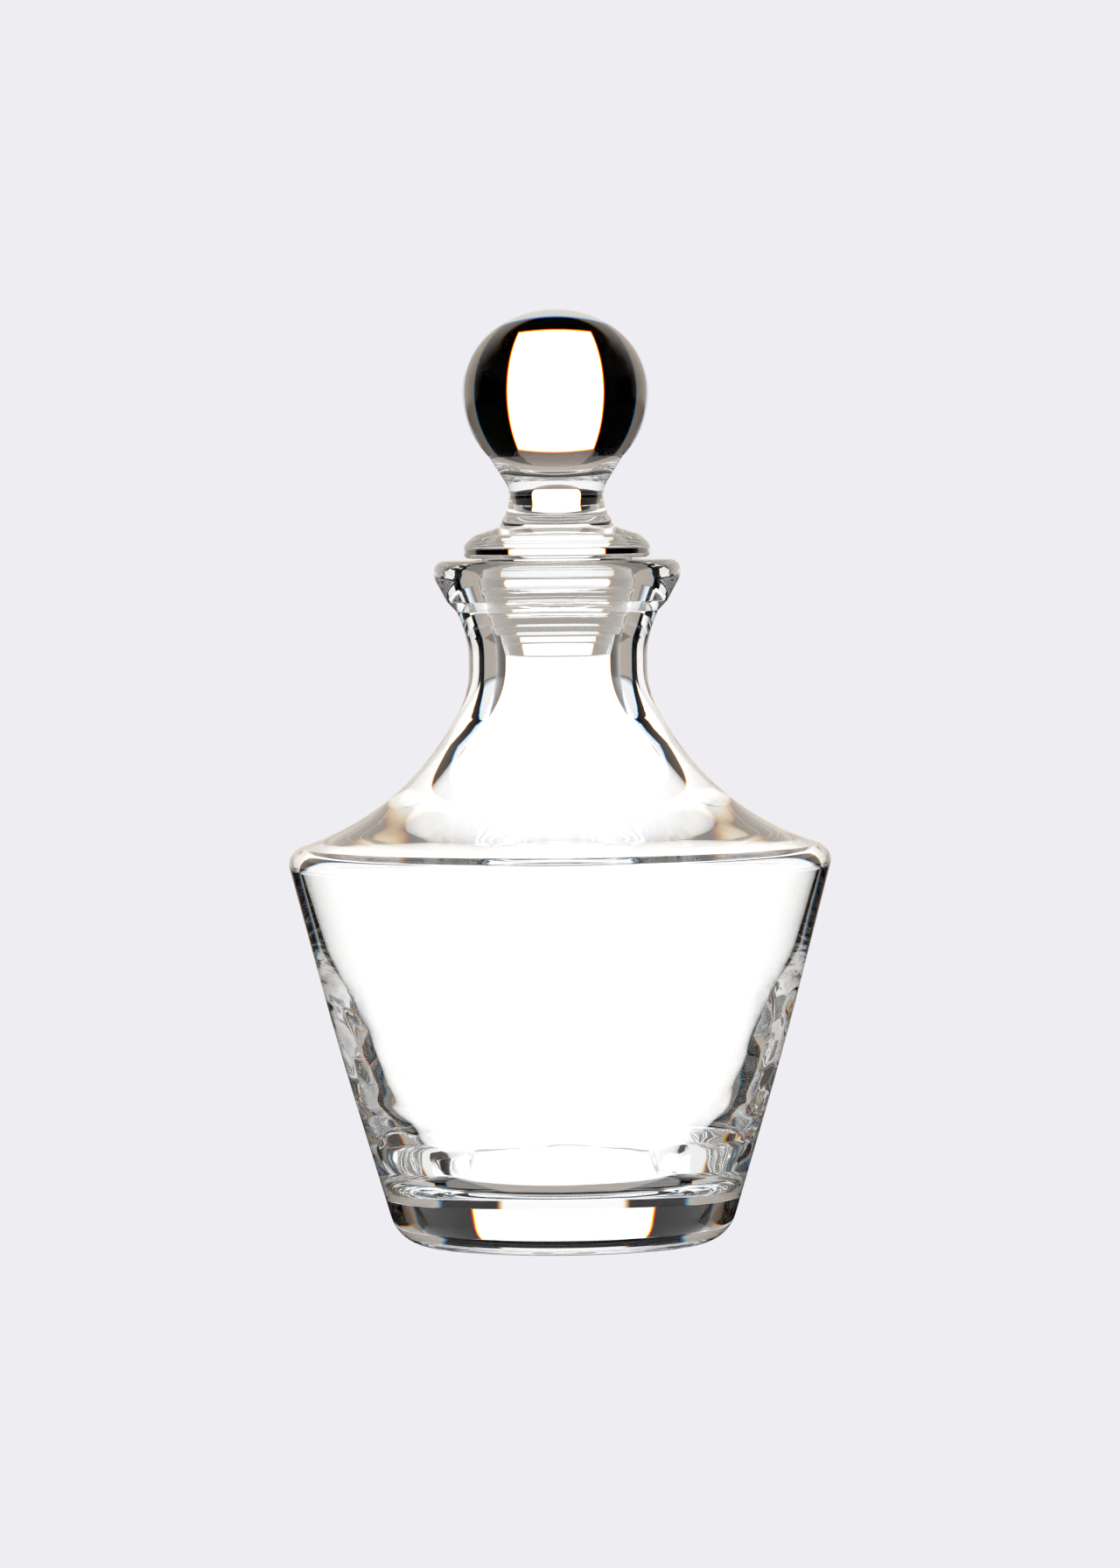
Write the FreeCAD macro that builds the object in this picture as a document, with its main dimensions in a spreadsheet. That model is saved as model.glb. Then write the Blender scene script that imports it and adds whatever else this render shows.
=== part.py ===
import FreeCAD, Part
import math
import os
import re

import Sketcher

# A clear glass decanter: a hollow vessel with a heavy base, a ball stopper of solid glass, and the ribbed
# plastic sleeve that seals the stopper's tapered plug in the neck.
# Frame: the origin is the middle of the base on the surface that it stands on, and +Z goes up the neck.
# Every piece is turned about the Z axis, so each outline is drawn as (radius, height) in the XZ plane.

SIZES = {
    # Vessel, outside: corners of the outline before they are rounded. Each rise is counted from the corner
    # before it, so the neck and the lip go up with the shoulder
    "foot_ring_width": 13.3,
    "punt_depth": 0.8,
    "punt_slope": 3.0,
    "base_radius": 41.3,
    "base_rounding": 10.0,
    "belly_bulge": 0.9,
    "belly_level": 50.0,
    "belly_rounding": 900.0,
    "shoulder_radius": 69.0,
    "shoulder_level": 98.9,
    "shoulder_rounding": 4.2,
    "slope_pitch": 0.37,
    "slope_spread": 16.2,
    "slope_rounding": 66.0,
    "neck_wall": 6.9,
    "neck_foot_rise": 28.7,
    "neck_foot_rounding": 21.0,
    "neck_length": 13.4,
    "neck_head_rounding": 22.0,
    "crease_flare": 2.8,
    "crease_rise": 7.0,
    "lip_foot_flare": 2.4,
    "lip_foot_rise": 2.5,
    "lip_side_flare": 3.3,
    "lip_side_rise": 6.1,
    "lip_side_rounding": 3.5,
    "lip_top_rise": 4.3,
    "lip_top_rounding": 2.6,
    # Vessel, inside
    "mouth_flare": 5.1,
    "mouth_rounding": 1.2,
    "throat_radius": 15.6,
    "throat_depth": 21.1,
    "throat_rounding": 20.0,
    "bore_foot_drop": 1.3,
    "bore_foot_rounding": 26.0,
    "slope_side_wall": 2.5,
    "slope_top_wall": 2.0,
    "slope_inner_rounding": 60.0,
    "shoulder_side_wall": 2.8,
    "shoulder_top_wall": 1.8,
    "shoulder_inner_rounding": 2.4,
    "upper_wall": 3.5,
    "upper_wall_drop": 28.4,
    "upper_wall_rounding": 110.0,
    "lower_wall": 9.0,
    "lower_wall_level": 33.0,
    "lower_wall_rounding": 60.0,
    "floor_radius": 31.0,
    "floor_rounding": 12.0,
    "floor_thickness": 15.5,
    # Fits between the neck, the sleeve and the plug, with depths counted from the top of the lip
    "clearance": 0.05,
    "rib_reach": 0.7,
    "rib_width": 1.4,
    "rib_tip_rounding": 0.25,
    "rib_pitch": 3.5,
    "first_rib_depth": 5.0,
    "seal_thickness": 1.0,
    "seal_head_depth": 0.6,
    "seal_foot_depth": 18.0,
    "plug_depth": 24.1,
    "plug_rounding": 0.8,
    "flange_gap": 0.5,
    # Stopper above the neck, with each rise counted from the corner before it
    "flange_reach": 2.7,
    "flange_foot_rounding": 1.2,
    "flange_side_rise": 3.6,
    "flange_side_rounding": 3.0,
    "dome_inset": 2.7,
    "dome_rise": 2.2,
    "dome_rounding": 5.0,
    "collar_radius": 14.3,
    "collar_rise": 2.1,
    "ledge_radius": 13.0,
    "ledge_width": 0.4,
    "ledge_rise": 2.6,
    "waist_radius": 11.9,
    "waist_foot_rise": 3.7,
    "waist_foot_rounding": 7.4,
    "waist_length": 3.5,
    "waist_head_rounding": 6.6,
    "ball_seat_inset": 1.1,
    "ball_seat_rise": 9.7,
    "ball_seat_drop": 14.3,
    "ball_radius": 23.4,
    "ball_crown": 20.7,
}
RIB_COUNT = 4
# How much of a side the two roundings at its ends may take up
SIDE_SHARE = 0.96

doc = FreeCAD.newDocument("decanter")
sheet = doc.addObject("Spreadsheet::Sheet", "Sizes")
for row, (alias, size) in enumerate(SIZES.items(), start=1):
    sheet.set(f"A{row}", alias)
    sheet.set(f"B{row}", str(size))
    sheet.setAlias(f"B{row}", alias)
doc.recompute()


def bound(formula):
    """A formula of size names, with each name pointed at its cell of the sheet."""
    return re.sub(r"[a-z]+(_[a-z]+)*", r"Sizes.\g<0>", formula)


def value_of(formula):
    """What a formula of size names comes to now, in millimetres."""
    return float(sheet.evalExpression(bound(formula)))


def origin_plane(body, role):
    return next(feature for feature in body.Origin.OriginFeatures if feature.Role == role)


def pin_point(sketch, geometry, end, radius, level):
    """Holds one end of a sketch's geometry at a radius and a level."""
    for kind, formula, axis in (("DistanceX", radius, -2), ("DistanceY", level, -1)):
        if formula == "0":
            sketch.addConstraint(Sketcher.Constraint("PointOnObject", geometry, end, axis))
        else:
            pin = Sketcher.Constraint(kind, -1, 1, geometry, end, value_of(formula))
            number = sketch.addConstraint(pin)
            sketch.setExpression(f"Constraints[{number}]", bound(formula))


def rounded_corner(before, corner, after, rounding):
    """The arc that rounds a corner, the two points where it leaves the sides, and which end comes first."""
    to_before, to_after = (before - corner).normalize(), (after - corner).normalize()
    half_angle = to_before.getAngle(to_after) / 2
    start = corner + to_before * (rounding / math.tan(half_angle))
    finish = corner + to_after * (rounding / math.tan(half_angle))
    centre = corner + (to_before + to_after).normalize() * (rounding / math.sin(half_angle))
    anticlockwise = (start - centre).cross(finish - centre).z > 0
    first, last = (start, finish) if anticlockwise else (finish, start)
    circle = Part.Circle(centre, FreeCAD.Vector(0, 0, 1), rounding)
    arc = Part.ArcOfCircle(circle, circle.parameter(first), circle.parameter(last))
    return arc, start, finish, (1, 2) if anticlockwise else (2, 1)


def shares_that_fit(places, roundings):
    """The share of each corner's rounding that its sides have room for: 1 unless two roundings meet."""
    reaches = []
    for index, rounding in enumerate(roundings):
        to_before = places[index - 1] - places[index]
        to_after = places[(index + 1) % len(places)] - places[index]
        reaches.append(rounding / math.tan(to_before.getAngle(to_after) / 2))
    shares = [1.0] * len(places)
    for index, place in enumerate(places):
        room = (place - places[index - 1]).Length * SIDE_SHARE
        needed = reaches[index - 1] + reaches[index]
        if needed > room:
            shares[index - 1] = min(shares[index - 1], room / needed)
            shares[index] = min(shares[index], room / needed)
    return shares


def outline(body, name, corners):
    """A closed sketch of straight sides through (radius, level, rounding) corners, sharp at None."""
    sketch = body.newObject("Sketcher::SketchObject", name)
    sketch.AttachmentSupport = (origin_plane(body, "XZ_Plane"), "")
    sketch.MapMode = "FlatFace"
    places = [FreeCAD.Vector(value_of(radius), value_of(level), 0) for radius, level, _ in corners]
    wanted = [value_of(rounding) if rounding else 0.0 for _, _, rounding in corners]
    shares = shares_that_fit(places, wanted)
    starts, finishes, arcs = list(places), list(places), {}
    for index, share in enumerate(shares):
        if wanted[index]:
            neighbours = places[index - 1], places[index], places[(index + 1) % len(places)]
            rounded = rounded_corner(*neighbours, wanted[index] * share)
            arc, finishes[index], starts[index], ends = rounded
            arcs[index] = (arc, ends)
    sides = [
        sketch.addGeometry(Part.LineSegment(start, finish))
        for start, finish in zip(starts, finishes[1:] + finishes[:1])
    ]
    for index, (radius, level, rounding) in enumerate(corners):
        arriving, leaving = sides[index - 1], sides[index]
        if not rounding:
            sketch.addConstraint(Sketcher.Constraint("Coincident", arriving, 2, leaving, 1))
            pin_point(sketch, leaving, 1, radius, level)
            continue
        corner = sketch.addGeometry(Part.Point(places[index]), True)
        pin_point(sketch, corner, 1, radius, level)
        sketch.addConstraint(Sketcher.Constraint("PointOnObject", corner, 1, arriving))
        sketch.addConstraint(Sketcher.Constraint("PointOnObject", corner, 1, leaving))
        arc, (first, last) = arcs[index]
        curve = sketch.addGeometry(arc)
        sketch.addConstraint(Sketcher.Constraint("Tangent", arriving, 2, curve, first))
        sketch.addConstraint(Sketcher.Constraint("Tangent", curve, last, leaving, 1))
        number = sketch.addConstraint(Sketcher.Constraint("Radius", curve, wanted[index] * shares[index]))
        sketch.setExpression(f"Constraints[{number}]", f"{bound(rounding)} * {shares[index]}")
    return sketch


def new_body(label):
    body = doc.addObject("PartDesign::Body", label)
    body.Label = label
    body.Placement = FreeCAD.Placement()
    return body


def turn(body, name, corners):
    """A solid of revolution about the Z axis."""
    sketch = outline(body, f"{name}_outline", corners)
    revolution = body.newObject("PartDesign::Revolution", name)
    revolution.Profile = sketch
    revolution.ReferenceAxis = (sketch, ["V_Axis"])
    revolution.Angle = 360
    sketch.Visibility = False
    return revolution


def stacked(start, *steps):
    """The formulas of sizes that stand on each other: the start with one step more each time."""
    totals = []
    for step in steps:
        start = f"({start} + {step})"
        totals.append(start)
    return totals


NECK_RADIUS, CREASE_RADIUS, LIP_FOOT_RADIUS, LIP_RADIUS = stacked(
    "throat_radius", "neck_wall", "crease_flare", "lip_foot_flare", "lip_side_flare"
)
MOUTH_RADIUS, FLANGE_RADIUS = stacked("throat_radius", "mouth_flare", "flange_reach")
SLOPE_RADIUS = f"({NECK_RADIUS} + slope_spread)"
SLOPE_LEVEL = f"(shoulder_level + (shoulder_radius - {SLOPE_RADIUS}) * slope_pitch)"
NECK_FOOT_LEVEL, NECK_HEAD_LEVEL, CREASE_LEVEL = stacked(
    SLOPE_LEVEL, "neck_foot_rise", "neck_length", "crease_rise"
)
LIP_FOOT_LEVEL, LIP_SIDE_LEVEL, LIP_LEVEL, FLANGE_LEVEL = stacked(
    CREASE_LEVEL, "lip_foot_rise", "lip_side_rise", "lip_top_rise", "flange_gap"
)


def straight_side(level):
    """The radius at a level of a straight line from the base to the shoulder."""
    return f"(base_radius + ({level}) * (shoulder_radius - base_radius) / shoulder_level)"


def lower_side(level):
    """The vessel's outside radius at a level between the base and the belly."""
    return f"({straight_side(level)} + belly_bulge * ({level}) / belly_level)"


def upper_side(level):
    """The vessel's outside radius at a level between the belly and the shoulder."""
    share = f"(shoulder_level - ({level})) / (shoulder_level - belly_level)"
    return f"({straight_side(level)} + belly_bulge * {share})"


def bore(depth):
    """The radius of the tapered bore at a depth below the top of the lip."""
    return f"(throat_radius + mouth_flare * (throat_depth - ({depth})) / throat_depth)"


def sleeve_outside(depth):
    return f"({bore(depth)} - clearance - rib_reach)"


def sleeve_inside(depth):
    return f"({sleeve_outside(depth)} - seal_thickness)"


def make_decanter_body():
    """The glass vessel, from the shallow punt under its base out, up to the lip and down inside."""
    body = new_body("decanter_body")
    punt_radius = "(base_radius - foot_ring_width)"
    upper_wall_level = "(shoulder_level - upper_wall_drop)"
    turn(body, "vessel", [
        ("0", "punt_depth", None),
        (f"{punt_radius} - punt_slope", "punt_depth", None),
        (punt_radius, "0", None),
        ("base_radius", "0", "base_rounding"),
        (lower_side("belly_level"), "belly_level", "belly_rounding"),
        ("shoulder_radius", "shoulder_level", "shoulder_rounding"),
        (SLOPE_RADIUS, SLOPE_LEVEL, "slope_rounding"),
        (NECK_RADIUS, NECK_FOOT_LEVEL, "neck_foot_rounding"),
        (NECK_RADIUS, NECK_HEAD_LEVEL, "neck_head_rounding"),
        (CREASE_RADIUS, CREASE_LEVEL, None),
        (LIP_FOOT_RADIUS, LIP_FOOT_LEVEL, None),
        (LIP_RADIUS, LIP_SIDE_LEVEL, "lip_side_rounding"),
        (LIP_RADIUS, LIP_LEVEL, "lip_top_rounding"),
        (MOUTH_RADIUS, LIP_LEVEL, "mouth_rounding"),
        ("throat_radius", f"{LIP_LEVEL} - throat_depth", "throat_rounding"),
        ("throat_radius", f"{NECK_FOOT_LEVEL} - bore_foot_drop", "bore_foot_rounding"),
        (f"{SLOPE_RADIUS} - slope_side_wall", f"{SLOPE_LEVEL} - slope_top_wall", "slope_inner_rounding"),
        (
            "shoulder_radius - shoulder_side_wall",
            "shoulder_level - shoulder_top_wall",
            "shoulder_inner_rounding",
        ),
        (f"{upper_side(upper_wall_level)} - upper_wall", upper_wall_level, "upper_wall_rounding"),
        (f"{lower_side('lower_wall_level')} - lower_wall", "lower_wall_level", "lower_wall_rounding"),
        ("floor_radius", "floor_thickness", "floor_rounding"),
        ("0", "floor_thickness", None),
    ])
    return body


def make_stopper_seal():
    """The clear plastic sleeve on the plug, with soft rings that grip the bore."""
    body = new_body("stopper_seal")
    corners = [
        (sleeve_inside("seal_head_depth"), f"{LIP_LEVEL} - seal_head_depth", None),
        (sleeve_inside("seal_foot_depth"), f"{LIP_LEVEL} - seal_foot_depth", None),
        (sleeve_outside("seal_foot_depth"), f"{LIP_LEVEL} - seal_foot_depth", None),
    ]
    for rib in reversed(range(RIB_COUNT)):
        depth = f"(first_rib_depth + {rib} * rib_pitch)"
        below, above = f"({depth} + rib_width / 2)", f"({depth} - rib_width / 2)"
        corners += [
            (sleeve_outside(below), f"{LIP_LEVEL} - {below}", None),
            (f"{bore(depth)} - clearance", f"{LIP_LEVEL} - {depth}", "rib_tip_rounding"),
            (sleeve_outside(above), f"{LIP_LEVEL} - {above}", None),
        ]
    corners.append((sleeve_outside("seal_head_depth"), f"{LIP_LEVEL} - seal_head_depth", None))
    turn(body, "sleeve", corners)
    return body


def make_stopper():
    """One solid piece of glass: tapered plug, domed flange, waist with a ledge, and ball."""
    body = new_body("stopper")
    flange_side, dome, collar, ledge = stacked(
        FLANGE_LEVEL, "flange_side_rise", "dome_rise", "collar_rise", "ledge_rise"
    )
    waist_foot, waist_head, ball_seat, ball_centre = stacked(
        ledge, "waist_foot_rise", "waist_length", "ball_seat_rise", "ball_seat_drop"
    )
    turn(body, "plug_and_waist", [
        ("0", f"{LIP_LEVEL} - plug_depth", None),
        (f"{sleeve_inside('plug_depth')} - clearance", f"{LIP_LEVEL} - plug_depth", "plug_rounding"),
        (f"{sleeve_inside('-flange_gap')} - clearance", FLANGE_LEVEL, None),
        (FLANGE_RADIUS, FLANGE_LEVEL, "flange_foot_rounding"),
        (FLANGE_RADIUS, flange_side, "flange_side_rounding"),
        (f"{FLANGE_RADIUS} - dome_inset", dome, "dome_rounding"),
        ("collar_radius", collar, None),
        ("ledge_radius + ledge_width", ledge, None),
        ("ledge_radius", ledge, None),
        ("waist_radius", waist_foot, "waist_foot_rounding"),
        ("waist_radius", waist_head, "waist_head_rounding"),
        ("(ball_radius ^ 2 - ball_seat_drop ^ 2) ^ 0.5 - ball_seat_inset", ball_seat, None),
        ("0", ball_seat, None),
    ])
    ball = body.newObject("PartDesign::AdditiveSphere", "ball")
    ball.setExpression("Radius", bound("ball_radius"))
    ball.Angle1, ball.Angle2 = -90, 0
    crown = body.newObject("PartDesign::AdditiveEllipsoid", "ball_crown_cap")
    crown.setExpression("Radius1", bound("ball_crown"))
    crown.setExpression("Radius2", bound("ball_radius"))
    crown.setExpression("Radius3", bound("ball_radius"))
    crown.Angle1, crown.Angle2 = 0, 90
    for half in (ball, crown):
        half.AttachmentSupport = (origin_plane(body, "XY_Plane"), "")
        half.MapMode = "FlatFace"
        half.setExpression("AttachmentOffset.Base.z", bound(ball_centre))
    return body


def check_and_write(bodies):
    """Refuses a failed feature or a broken solid, then writes each piece to its own file."""
    for item in doc.Objects:
        if {"Invalid", "Error"} & set(item.State):
            raise RuntimeError(f"{item.Name} failed: {item.State}")
    for body in bodies:
        shape = body.Shape
        if shape.isNull() or not shape.isValid() or len(shape.Solids) != 1:
            raise RuntimeError(f"{body.Label} is not one valid solid")
    os.makedirs("parts", exist_ok=True)
    for body in bodies:
        body.Shape.exportStep(f"parts/{body.Label}.step")
        box = body.Shape.BoundBox
        print(f"{body.Label}: {body.Shape.Volume / 1000:.1f} ml, z {box.ZMin:.2f} to {box.ZMax:.2f} mm")


pieces = [make_decanter_body(), make_stopper_seal(), make_stopper()]
doc.recompute()
check_and_write(pieces)
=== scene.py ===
import bpy
import math
from mathutils import Matrix, Vector, noise


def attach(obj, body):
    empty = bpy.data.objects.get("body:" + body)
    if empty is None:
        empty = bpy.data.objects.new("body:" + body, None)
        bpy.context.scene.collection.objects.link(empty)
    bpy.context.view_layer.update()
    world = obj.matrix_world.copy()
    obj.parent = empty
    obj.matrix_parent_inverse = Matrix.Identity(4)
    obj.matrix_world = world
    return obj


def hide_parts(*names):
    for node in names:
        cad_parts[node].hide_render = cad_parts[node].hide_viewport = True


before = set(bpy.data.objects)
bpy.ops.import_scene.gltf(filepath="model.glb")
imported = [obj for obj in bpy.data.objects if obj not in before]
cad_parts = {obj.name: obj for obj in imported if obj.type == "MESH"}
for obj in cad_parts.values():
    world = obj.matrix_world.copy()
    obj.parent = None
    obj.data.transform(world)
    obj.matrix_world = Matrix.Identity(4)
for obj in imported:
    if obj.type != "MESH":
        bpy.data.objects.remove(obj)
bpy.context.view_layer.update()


# ---- decanter_body ------------------------------------------------------------------------------------
# The vessel is one piece of clear glass, blown into a mould: the outside is smooth and true, and the
# inside is wavy where the wall grows thick towards the heavy base. The lip was opened out hot, with a
# crease under its rim, and the base has a shallow punt, so that it stands on a ring.

MM = 0.001
AROUND = 240
LONGEST_STEP = 1.6
CORNER_STEP = 0.12
ARC_TURN = math.radians(7)

# Corners of the outline in millimetres, as (radius, level, rounding), from the punt out and up to the lip
PUNT = [(0, 0.8, 0), (25, 0.8, 1.5), (28, 0, 1.5)]
BASE = (41.3, 0, 10)
BELLY = (56.2, 50, 900)
SHOULDER = (69, 98.9, 4.2)
SLOPE = (38.7, 110.11, 66)
NECK = [(22.5, 138.81, 21), (22.5, 152.21, 22)]
CREASE = (25.3, 159.21, 0.5)
LIP = [(27.7, 161.71, 0.6), (31, 167.81, 3.5), (31, 172.11, 2.6)]
OUTSIDE = [*PUNT, BASE, BELLY, SHOULDER, SLOPE, *NECK, CREASE, *LIP]
MOUTH = [(20.7, 172.11, 1.2), (15.6, 151.01, 20)]
INSIDE_NECK = [(15.6, 137.51, 26), (36.2, 108.11, 60)]
INSIDE_WALL = [(66.2, 97.1, 2.4), (58.07, 70.5, 110), (42.14, 33, 60)]
FLOOR = [(31, 15.5, 12), (0, 15.5, 0)]
INSIDE = [*MOUTH, *INSIDE_NECK, *INSIDE_WALL, *FLOOR]


def rounded_outline(corners):
    """The points of an outline, in millimetres: straight sides, and an arc at each rounded corner."""
    points = []
    for index, (radius, level, rounding) in enumerate(corners):
        corner = Vector((radius, level))
        if not rounding:
            points.append(corner)
            continue
        to_before = (Vector(corners[index - 1][:2]) - corner).normalized()
        to_after = (Vector(corners[(index + 1) % len(corners)][:2]) - corner).normalized()
        half = to_before.angle(to_after) / 2
        start = corner + to_before * (rounding / math.tan(half))
        finish = corner + to_after * (rounding / math.tan(half))
        centre = corner + (to_before + to_after).normalized() * (rounding / math.sin(half))
        turn = math.pi - 2 * half
        steps = max(2, math.ceil(turn / ARC_TURN), math.ceil(rounding * turn / LONGEST_STEP))
        spoke = start - centre
        sign = math.copysign(1, spoke.cross(finish - centre))
        for step in range(steps + 1):
            points.append(centre + Matrix.Rotation(sign * turn * step / steps, 2) @ spoke)
    return points


def with_even_steps(points):
    """The same outline with its long sides cut up, in shorter steps next to a corner."""
    cut = [points[0]]
    for start, finish in zip(points, points[1:]):
        length = (finish - start).length
        steps = max(1, math.ceil(length / LONGEST_STEP))
        shares = [(1 - math.cos(math.pi * step / steps)) / 2 for step in range(1, steps)]
        if length > 2 * LONGEST_STEP:
            near_end = CORNER_STEP / length
            shares = [near_end, *shares, 1 - near_end]
            shares.sort()
        cut += [start.lerp(finish, share) for share in shares] + [finish]
    return cut


def turned(name, outline, waviness=None):
    """A closed mesh turned about the Z axis, from an outline that starts and ends on it or a closed one."""
    tracks = [point for point in outline if point.x > 0]
    places = []
    for point in tracks:
        for step in range(AROUND):
            angle = 2 * math.pi * step / AROUND
            place = Vector((point.x * math.cos(angle), point.x * math.sin(angle), point.y))
            places.append(place + waviness(place) if waviness else place)
    on_axis = len(tracks) < len(outline)
    faces = []
    for step in range(AROUND):
        beside = (step + 1) % AROUND
        for track in range(len(tracks) - on_axis):
            low, high = track * AROUND, (track + 1) % len(tracks) * AROUND
            faces.append((low + step, low + beside, high + beside, high + step))
    if on_axis:
        first, last, top = len(places), len(places) + 1, len(places) - AROUND
        places += [Vector((0, 0, outline[0].y)), Vector((0, 0, outline[-1].y))]
        for step in range(AROUND):
            beside = (step + 1) % AROUND
            faces += [(first, beside, step), (last, top + step, top + beside)]
    mesh = bpy.data.meshes.new(name)
    mesh.from_pydata([place * MM for place in places], [], faces)
    mesh.shade_smooth()
    piece = bpy.data.objects.new(name, mesh)
    bpy.context.scene.collection.objects.link(piece)
    return piece


class Wire:
    """An output socket of a node tree. A sum of wires and numbers adds its Math nodes to the tree."""

    def __init__(self, tree, socket=None):
        self.tree = tree
        self.socket = socket

    def node(self, kind, settings, sockets, output=0):
        """Adds a node: its settings first, then the value or the link of each socket."""
        made = self.tree.nodes.new(kind)
        for name, value in settings.items():
            setattr(made, name, value)
        for name, value in sockets.items():
            if isinstance(value, Wire):
                self.tree.links.new(value.socket, made.inputs[name])
            else:
                made.inputs[name].default_value = value
        return Wire(self.tree, made.outputs[output] if made.outputs else None)

    def maths(self, operation, *values):
        """A Math node of the operation, on all of its values."""
        return self.node("ShaderNodeMath", {"operation": operation}, dict(enumerate(values)))

    def __add__(self, other):
        return self.maths("ADD", self, other)

    def __sub__(self, other):
        return self.maths("SUBTRACT", self, other)

    def __rsub__(self, other):
        return self.maths("SUBTRACT", other, self)

    def __mul__(self, other):
        return self.maths("MULTIPLY", self, other)

    def __abs__(self):
        return self.maths("ABSOLUTE", self)

    __radd__ = __add__
    __rmul__ = __mul__

    def between(self, low, high):
        """0 below low, 1 above high, with a smooth rise from one to the other."""
        return self.node(
            "ShaderNodeMapRange",
            {"interpolation_type": "SMOOTHSTEP"},
            {"Value": self, "From Min": low, "From Max": high},
        )

    def mixed(self, low, high):
        """The colour between low, where this is 0, and high, where it is 1."""
        factor, low_colour, high_colour, colour = 0, 6, 7, 2
        sockets = {factor: self, low_colour: low, high_colour: high}
        return self.node("ShaderNodeMix", {"data_type": "RGBA"}, sockets, colour)


def new_material(name):
    """An empty node material, and a wire to start its nodes from."""
    material = bpy.data.materials.new(name)
    material.use_nodes = True
    material.node_tree.nodes.clear()
    return material, Wire(material.node_tree)


def clear_material(name, ior, tint, tint_scale, ripple, ripple_scale, haze=0.0, wear=None):
    """Clear glass or plastic: a faint uneven tint and ripple, with any haze and rubbed places."""
    material, start = new_material(name)
    place = start.node("ShaderNodeTexCoord", {}, {}, "Object")
    cloud = start.node("ShaderNodeTexNoise", {}, {"Vector": place, "Scale": tint_scale, "Detail": 3.0})
    wave = start.node("ShaderNodeTexNoise", {}, {"Vector": place, "Scale": ripple_scale, "Detail": 1.0})
    roughness = cloud.between(0.6, 0.75) * haze if haze else 0.0
    if wear:
        roughness = wear(place) + roughness
    colour = cloud.mixed((1.0, 1.0, 1.0, 1.0), tint)
    normal = start.node("ShaderNodeBump", {}, {"Height": wave, "Distance": ripple, "Strength": 1.0})
    shader = start.node(
        "ShaderNodeBsdfPrincipled",
        {},
        {
            "Base Color": colour,
            "Roughness": roughness,
            "IOR": ior,
            "Transmission Weight": 1.0,
            "Normal": normal,
        },
    )
    start.node("ShaderNodeOutputMaterial", {}, {"Surface": shader})
    return material


GLASS_IOR = 1.52
WAVY_FROM, WAVY_FULL, WAVY_TO = 16.0, 27.0, 75.0
WAVE_HEIGHT = 0.22
WAVE_LENGTH = Vector((15.0, 15.0, 11.0))
OUTER_SKIN = 2.2
# Low ridges round the wall in millimetres, as (level, height, width), and how far they stray from level
RINGS = [(28.0, 0.12, 1.4), (19.0, 0.16, 1.6)]
RING_WANDER, RING_WANDER_LENGTH = 1.2, 20


def inside_waviness(place):
    """How far a point of the hollow's wall lies off the true outline, out from the axis."""
    radius = math.hypot(place.x, place.y)
    outside = BASE[0] + place.z * (BELLY[0] - BASE[0]) / BELLY[1]
    if not WAVY_FROM < place.z < WAVY_TO or radius > outside - OUTER_SKIN:
        return Vector()
    rise = min(1, (place.z - WAVY_FROM) / (WAVY_FULL - WAVY_FROM))
    fade = min(1, (WAVY_TO - place.z) / (WAVY_TO - WAVY_FULL))
    scaled = Vector(at / length for at, length in zip(place, WAVE_LENGTH))
    height = WAVE_HEIGHT * rise * fade * (noise.noise(scaled) + 0.5 * noise.noise(scaled * 2.3))
    for level, lift, width in RINGS:
        at_ring = Vector((place.x, place.y, level)) / RING_WANDER_LENGTH
        wander = RING_WANDER * noise.noise(at_ring)
        height += lift * math.exp(-(((place.z - level - wander) / width) ** 2))
    return Vector((place.x, place.y, 0)).normalized() * height


def foot_wear(place):
    """Fine scuffs on the ring that the vessel stands on."""
    z = place.node("ShaderNodeSeparateXYZ", {}, {"Vector": place}, "Z")
    grain = place.node("ShaderNodeTexNoise", {}, {"Vector": place, "Scale": 900.0, "Detail": 4.0})
    return (1 - z.between(0.00005, 0.0004)) * grain.between(0.45, 0.65) * 0.25


vessel_glass = clear_material(
    "vessel_glass",
    ior=GLASS_IOR,
    tint=(0.985, 0.99, 0.99, 1.0),
    tint_scale=30.0,
    ripple=0.00002,
    ripple_scale=60.0,
    wear=foot_wear,
)
vessel = turned("vessel_shell", with_even_steps(rounded_outline(OUTSIDE + INSIDE)), inside_waviness)
vessel.data.materials.append(vessel_glass)
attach(vessel, "decanter")
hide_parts("decanter_body")


# ---- stopper ------------------------------------------------------------------------------------------
# The stopper is one solid piece of clear glass: a tapered plug, a domed flange that hangs just over the
# lip, a waist with a small ledge, and a ball that is a little flatter on top. Its outside is fire polished.

FLANGE_FOOT = 172.61
BALL_CENTRE = FLANGE_FOOT + 41.7
BALL_RADIUS = 23.4
BALL_CROWN = 20.7
BALL_STEP = math.radians(2.5)
BALL_MEETS_WAIST = math.radians(-44)
PLUG = [(0, 148.01, 0), (13.07, 148.01, 0.8), (19.02, FLANGE_FOOT, 0.3)]
FLANGE = [(23.4, FLANGE_FOOT, 1.2), (23.4, FLANGE_FOOT + 3.6, 3), (20.7, FLANGE_FOOT + 5.8, 5)]
COLLAR = (14.3, FLANGE_FOOT + 7.9, 0.6)
LEDGE = [(13.4, FLANGE_FOOT + 10.5, 0.15), (13, FLANGE_FOOT + 10.5, 0.15)]
WAIST = [(11.9, FLANGE_FOOT + 14.2, 7.4), (11.9, FLANGE_FOOT + 17.7, 6.6)]


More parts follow.
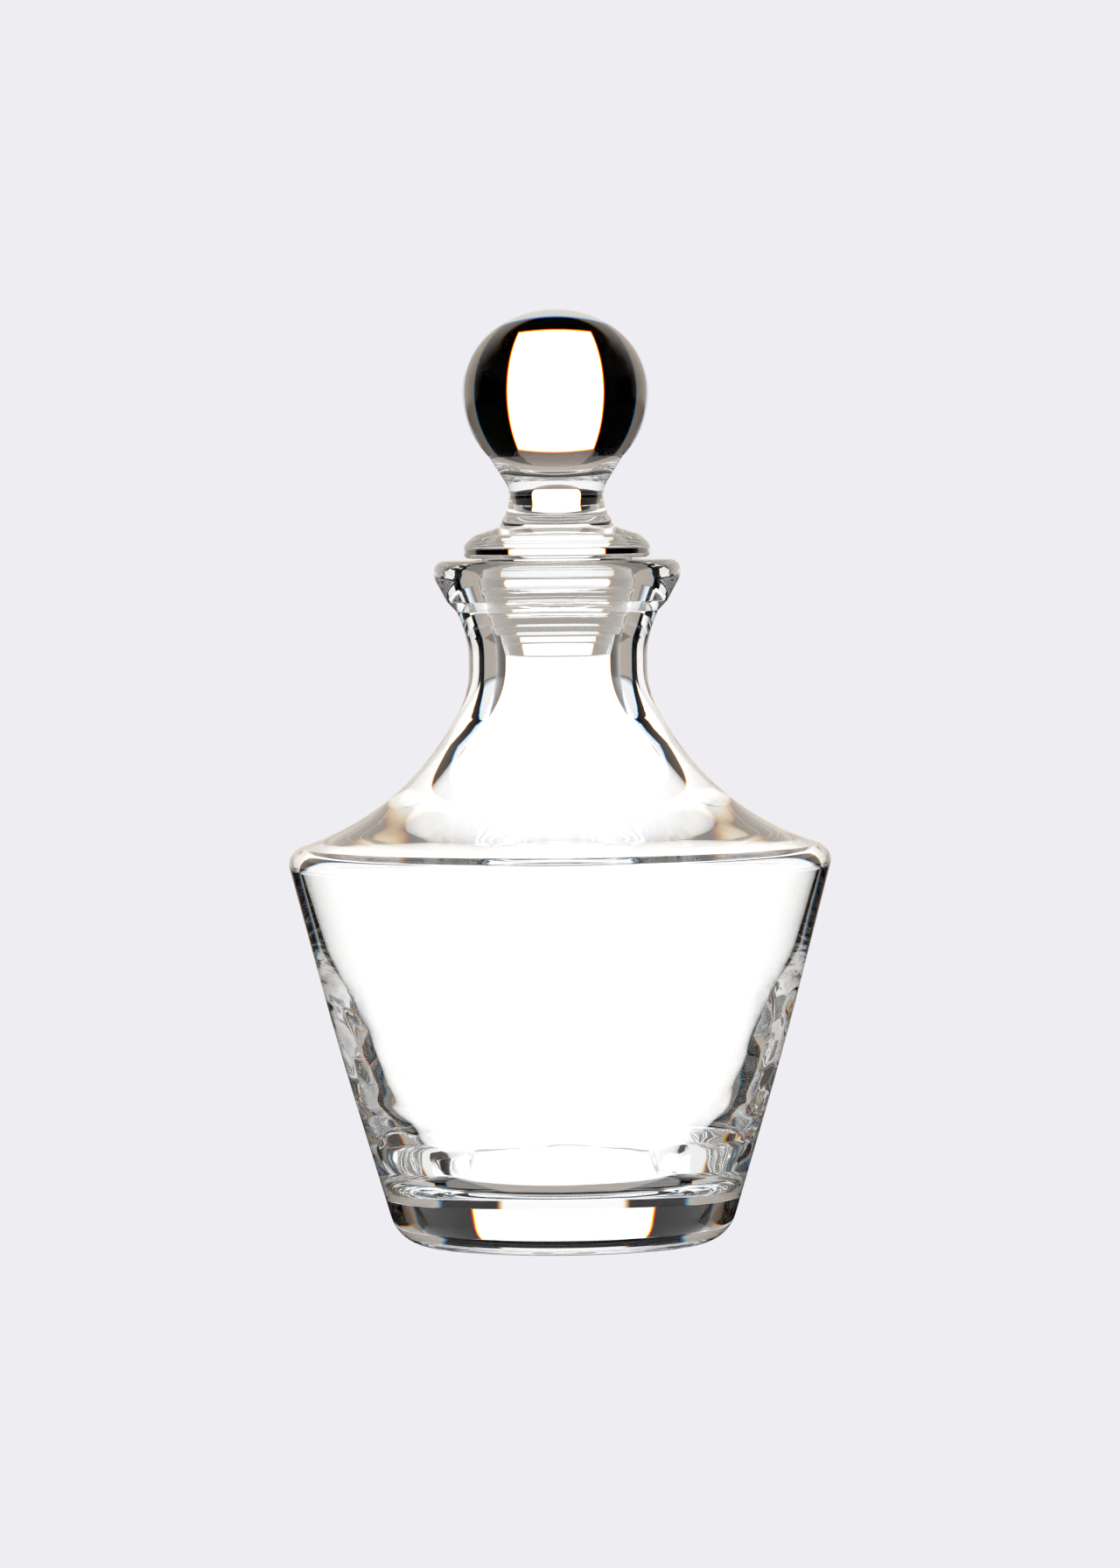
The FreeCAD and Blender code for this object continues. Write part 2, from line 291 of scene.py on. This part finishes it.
def ball_point(angle):
    """A point of the ball's outline at an angle above its widest ring."""
    height = BALL_CROWN if angle > 0 else BALL_RADIUS
    return Vector((BALL_RADIUS * math.cos(angle), BALL_CENTRE + height * math.sin(angle)))


ball_foot = ball_point(BALL_MEETS_WAIST)
ball_steps = math.ceil((math.pi / 2 - BALL_MEETS_WAIST) / BALL_STEP)
ball = [
    ball_point(BALL_MEETS_WAIST + (math.pi / 2 - BALL_MEETS_WAIST) * step / ball_steps)
    for step in range(1, ball_steps + 1)
]
ball[-1].x = 0
crease = (ball_foot.x, ball_foot.y, 0.4)
shank = rounded_outline([*PLUG, *FLANGE, COLLAR, *LEDGE, *WAIST, crease, (*ball[0], 0)])

stopper_glass = clear_material(
    "stopper_glass",
    ior=GLASS_IOR,
    tint=(0.985, 0.99, 0.99, 1.0),
    tint_scale=40.0,
    ripple=0.000006,
    ripple_scale=80.0,
)
stopper = turned("ball_stopper", with_even_steps(shank + ball[1:]))
stopper.data.materials.append(stopper_glass)
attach(stopper, "stopper")
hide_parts("stopper")


# ---- stopper_seal -------------------------------------------------------------------------------------
# The seal is a clear plastic sleeve, moulded in one piece and pushed onto the plug. Four soft ribs
# stand out from it and grip the tapered bore.

RIBS = 4
FIRST_RIB, RIB_PITCH, RIB_WIDTH, RIB_REACH = 5.0, 3.5, 1.4, 0.7
SLEEVE_HEAD, SLEEVE_FOOT, SLEEVE_THICKNESS = 0.6, 18.0, 1.0
CLEARANCE = 0.05
LIP_LEVEL = 172.11
BORE_MOUTH, BORE_THROAT, BORE_DEPTH = 20.7, 15.6, 21.1


def bore(depth):
    """The radius of the neck's tapered bore at a depth below the lip."""
    return BORE_MOUTH - depth * (BORE_MOUTH - BORE_THROAT) / BORE_DEPTH


def sleeve_outside(depth):
    """The radius of the sleeve between its ribs, which follows the taper of the bore."""
    return bore(depth) - CLEARANCE - RIB_REACH


def sleeve_inside(depth):
    return sleeve_outside(depth) - SLEEVE_THICKNESS


def sleeve_corners():
    """Corners of the sleeve's closed outline, down its inside and up over its ribs."""
    corners = [
        (sleeve_inside(SLEEVE_HEAD), LIP_LEVEL - SLEEVE_HEAD, 0.1),
        (sleeve_inside(SLEEVE_FOOT), LIP_LEVEL - SLEEVE_FOOT, 0.1),
        (sleeve_outside(SLEEVE_FOOT), LIP_LEVEL - SLEEVE_FOOT, 0.2),
    ]
    half = RIB_WIDTH / 2
    for rib in reversed(range(RIBS)):
        depth = FIRST_RIB + rib * RIB_PITCH
        corners += [
            (sleeve_outside(depth + half), LIP_LEVEL - depth - half, 0.1),
            (bore(depth) - CLEARANCE, LIP_LEVEL - depth, 0.25),
            (sleeve_outside(depth - half), LIP_LEVEL - depth + half, 0.1),
        ]
    corners.append((sleeve_outside(SLEEVE_HEAD), LIP_LEVEL - SLEEVE_HEAD, 0.2))
    return corners


seal_plastic = clear_material(
    "seal_plastic",
    ior=1.5,
    tint=(0.95, 0.97, 0.99, 1.0),
    haze=0.15,
    tint_scale=300.0,
    ripple=0.00002,
    ripple_scale=400.0,
)
sleeve = rounded_outline(sleeve_corners())
seal = turned("ribbed_seal", with_even_steps([*sleeve, sleeve[0]])[:-1])
seal.data.materials.append(seal_plastic)
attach(seal, "seal")
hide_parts("stopper_seal")


# ---- studio -------------------------------------------------------------------------------------------
# The light is staged, and isn't one physical room. Its panels stay fixed in the world, but a ray sees other
# panels once it has crossed solid glass, the hollow or the plug, or has been reflected or led round. The
# floor and the backdrop are one plain pale colour. The floor gives off its own light and isn't seen in glass.

PALE = (0.855, 0.847, 0.888, 1.0)
DEGREE = math.degrees(1)
# The white panel behind the glass: its half width in degrees, its soft edge and its brightness
PANEL_HALF, PANEL_EDGE, PANEL_GLOW = 22, 0.5, 1.3

scene = bpy.context.scene
scene.view_settings.view_transform = "Standard"
scene.cycles.max_bounces = 128
scene.cycles.transmission_bounces = 64
scene.cycles.glossy_bounces = 128
scene.cycles.caustics_reflective = True
scene.cycles.caustics_refractive = True


def band(angle, low, high, soft):
    """1 between two angles in degrees, fading to 0 within a soft edge beyond each."""
    return angle.between(low - soft, low) * (1 - angle.between(high, high + soft))


def brightest(light, *others):
    """The largest of several wires and numbers."""
    for other in others:
        light = light.maths("MAXIMUM", light, other)
    return light


def bent_light(aside, up, warmth):
    """The light of a direction on a ray that solid glass has only bent."""
    panel = band(aside, 0, PANEL_HALF, PANEL_EDGE) * band(up, -33, 30, 1) * PANEL_GLOW
    wall = band(aside, 0, PANEL_HALF, 2) * up.between(30, 32) * warmth
    floor = (1 - up.between(-49, -46)) * 0.65
    dip = 1 - band(aside, 112, 126, 8) * 0.5
    round_the_back = aside.between(74, 77) * dip * band(up, -40, 33, 4)
    brown_wall = aside.between(50, 51) * band(up, -46, 40, 2) * warmth
    return brightest(panel + wall, floor, round_the_back, brown_wall)


def hollow_light(aside, up, reflected):
    """The light of a direction on a ray that has crossed the hollow."""
    cards = band(aside, PANEL_HALF, 60, 1) * band(up, -12, 12, 3)
    return PANEL_GLOW - cards * (1 - reflected) * PANEL_GLOW


def mirrored_light(aside, up, beige):
    """The light of a direction on a ray that bounced off the front of the glass."""
    return (1 - aside.between(30, 75)) * band(up, -1, 40, 6) * beige * 0.9


def reflected_light(aside, up, beige):
    """The light of a direction on a ray that has been reflected once or twice inside the glass."""
    panel = band(aside, 0, PANEL_HALF, PANEL_EDGE) * band(up, 9, 91, 2) * PANEL_GLOW
    low_panel = band(aside, 0, PANEL_HALF, PANEL_EDGE) * band(up, -31, -14, 2) * 0.6
    strip = band(aside, 0, 13, 2) * band(up, -3.5, 9, 1.5)
    side = band(aside, 34, 70, 3) * band(up, -12, 8, 3) * beige * 0.5
    upper_side = aside.between(34, 36) * up.between(8, 14)
    high_ceiling = up.between(50, 54) * (1.1 - aside.between(75, 100) * 0.5)
    low_side = band(aside, 34, 105, 2) * band(up, -50, -12, 3) * beige * 0.25
    low_front = band(up, -91, -31, 3) * aside.between(105, 110) * beige * 0.5
    floor = (1 - up.between(-54, -50)) * beige * 0.45
    front = brightest(panel, low_panel, strip)
    return brightest(front, side, upper_side, high_ceiling, low_side, low_front, floor)


def deep_light(aside, up, beige):
    """The light of a direction on a ray that the thick glass has led round many times."""
    level = band(aside, 40, 82, 10) * band(up, -7, 10, 5) * 0.9
    side = 0.03 + aside.between(78, 88) * 0.1
    back = aside.between(108, 118) * 0.25 - band(aside, 132, 150, 3) * 0.33
    return brightest(level, (side + back) * beige, up.between(36, 44) * PANEL_GLOW)


def plug_light(aside, up, reflected, beige):
    """The light of a direction on a ray that has crossed the neck, the seal and the plug."""
    panel = band(aside, 0, PANEL_HALF, PANEL_EDGE) * band(up, -33, 30, 1) * PANEL_GLOW
    return brightest(panel * (1 - reflected), (0.36 + reflected * 0.1) * beige)


world = bpy.data.worlds.new("studio")
scene.world = world
world.use_nodes = True
world.node_tree.nodes.clear()
world.cycles.sampling_method = "NONE"
start = Wire(world.node_tree)
direction = start.node("ShaderNodeTexCoord", {}, {}, "Generated")
split = start.node("ShaderNodeSeparateXYZ", {}, {"Vector": direction}).socket.node
x, y, z = (Wire(world.node_tree, socket) for socket in split.outputs)
azimuth = x.maths("ARCTAN2", abs(x), y) * DEGREE
elevation = z.maths("ARCSINE", z) * DEGREE
light_path = start.node("ShaderNodeLightPath", {}, {}).socket.node
to_camera = Wire(world.node_tree, light_path.outputs["Is Camera Ray"])
bounced = Wire(world.node_tree, light_path.outputs["Glossy Depth"])
reflected = bounced.maths("MINIMUM", bounced, 1.0)
passed = Wire(world.node_tree, light_path.outputs["Transmission Depth"])
through_solid = passed.maths("COMPARE", passed, 2.0, 0.5)
through_hollow = passed.maths("COMPARE", passed, 4.0, 0.5)
through_plug = passed.maths("GREATER_THAN", passed, 5.0)
off_front = passed.maths("LESS_THAN", passed, 1.0) * reflected
deep = bounced.maths("GREATER_THAN", bounced, 2.5)
# Each colour sees the panels at slightly different angles, which draws coloured fringes at their edges
channels = []
for spread, warmth, beige in ((0.98, 0.2, 1.0), (1.0, 0.16, 0.9), (1.02, 0.13, 0.8)):
    aside, up = azimuth * spread, elevation * spread
    led_round = deep_light(aside, up, beige) * deep
    turned_back = reflected_light(aside, up, beige) * (1 - deep) + led_round
    from_above = up.between(-4, 2) * deep * 1.2
    hollow = hollow_light(aside, up, reflected) * (1 - deep) + brightest(led_round, from_above)
    solid = bent_light(aside, up, warmth) * (1 - reflected) + turned_back * reflected
    channels.append(
        solid * through_solid
        + hollow * through_hollow
        + plug_light(aside, up, reflected, beige) * through_plug
        + mirrored_light(aside, up, beige) * off_front
    )
light = start.node("ShaderNodeCombineColor", {}, dict(enumerate(channels)))
seen = to_camera.mixed(light, PALE)
glow = start.node("ShaderNodeBackground", {}, {"Color": seen, "Strength": 1.0})
start.node("ShaderNodeOutputWorld", {}, {"Surface": glow})

FLOOR_HALF = 6.0
floor_mesh = bpy.data.meshes.new("floor")
floor_signs = ((-1, -1), (1, -1), (1, 1), (-1, 1))
floor_corners = [(FLOOR_HALF * x_sign, FLOOR_HALF * y_sign, 0) for x_sign, y_sign in floor_signs]
floor_mesh.from_pydata(floor_corners, [], [(0, 1, 2, 3)])
floor = bpy.data.objects.new("floor", floor_mesh)
scene.collection.objects.link(floor)
floor_material, start = new_material("pale_floor")
glow = start.node("ShaderNodeEmission", {}, {"Color": PALE, "Strength": 1.0})
start.node("ShaderNodeOutputMaterial", {}, {"Surface": glow})
floor_mesh.materials.append(floor_material)
floor.visible_transmission = False
floor.visible_glossy = False
floor.visible_diffuse = False
floor.visible_shadow = False

CAMERA_PLACE = Vector((0, -2.0, 0.191))
CAMERA_AIM = Vector((0.0002, 0, 0.1157))
CAMERA_LENS = 182.6
CAMERA_ROLL = math.radians(-0.57)

camera_data = bpy.data.cameras.new("camera")
camera_data.lens = CAMERA_LENS
camera_data.sensor_width = 36.0
camera = bpy.data.objects.new("camera", camera_data)
facing = (CAMERA_AIM - CAMERA_PLACE).to_track_quat("-Z", "Y").to_matrix()
rolled = facing @ Matrix.Rotation(CAMERA_ROLL, 3, "Z")
camera.matrix_world = Matrix.Translation(CAMERA_PLACE) @ rolled.to_4x4()
scene.collection.objects.link(camera)
scene.camera = camera
